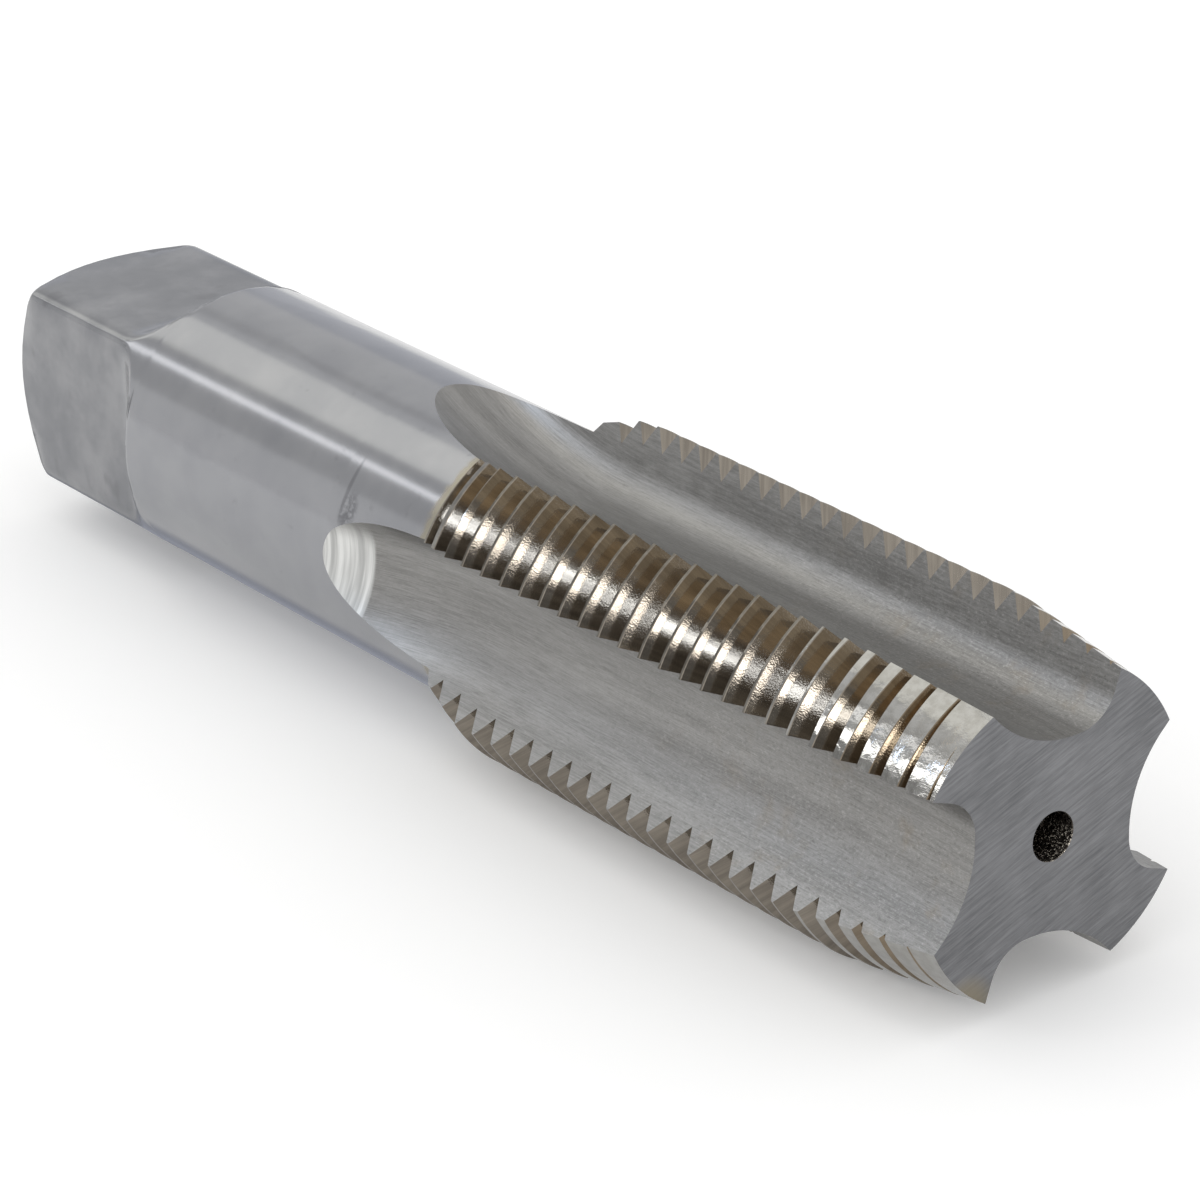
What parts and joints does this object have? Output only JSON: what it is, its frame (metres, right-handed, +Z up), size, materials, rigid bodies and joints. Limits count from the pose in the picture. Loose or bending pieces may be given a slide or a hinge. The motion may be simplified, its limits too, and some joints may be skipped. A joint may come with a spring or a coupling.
{
  "type": "thread tap",
  "caption": "Straight-fluted hand tap with a square drive, a plain shank, a right-hand V thread, a ground lead cone and a drilled centre hole in the front face.",
  "frame": {"origin": "centre of the square drive's end face, on the tap's axis", "axes": "+X along the axis, towards the cutting end; +Z up, along a flute's middle and square to a flat of the drive, with the tap lying on two lands"},
  "size_m": [0.102, 0.021, 0.021],
  "materials": {
    "ground_tool_steel": "ground and lightly oiled high-speed steel, glossy in the thread, satin on the shank and the square"
  },
  "bodies": {
    "root": {"thread_tap": "ground_tool_steel"}
  },
  "joints": []
}
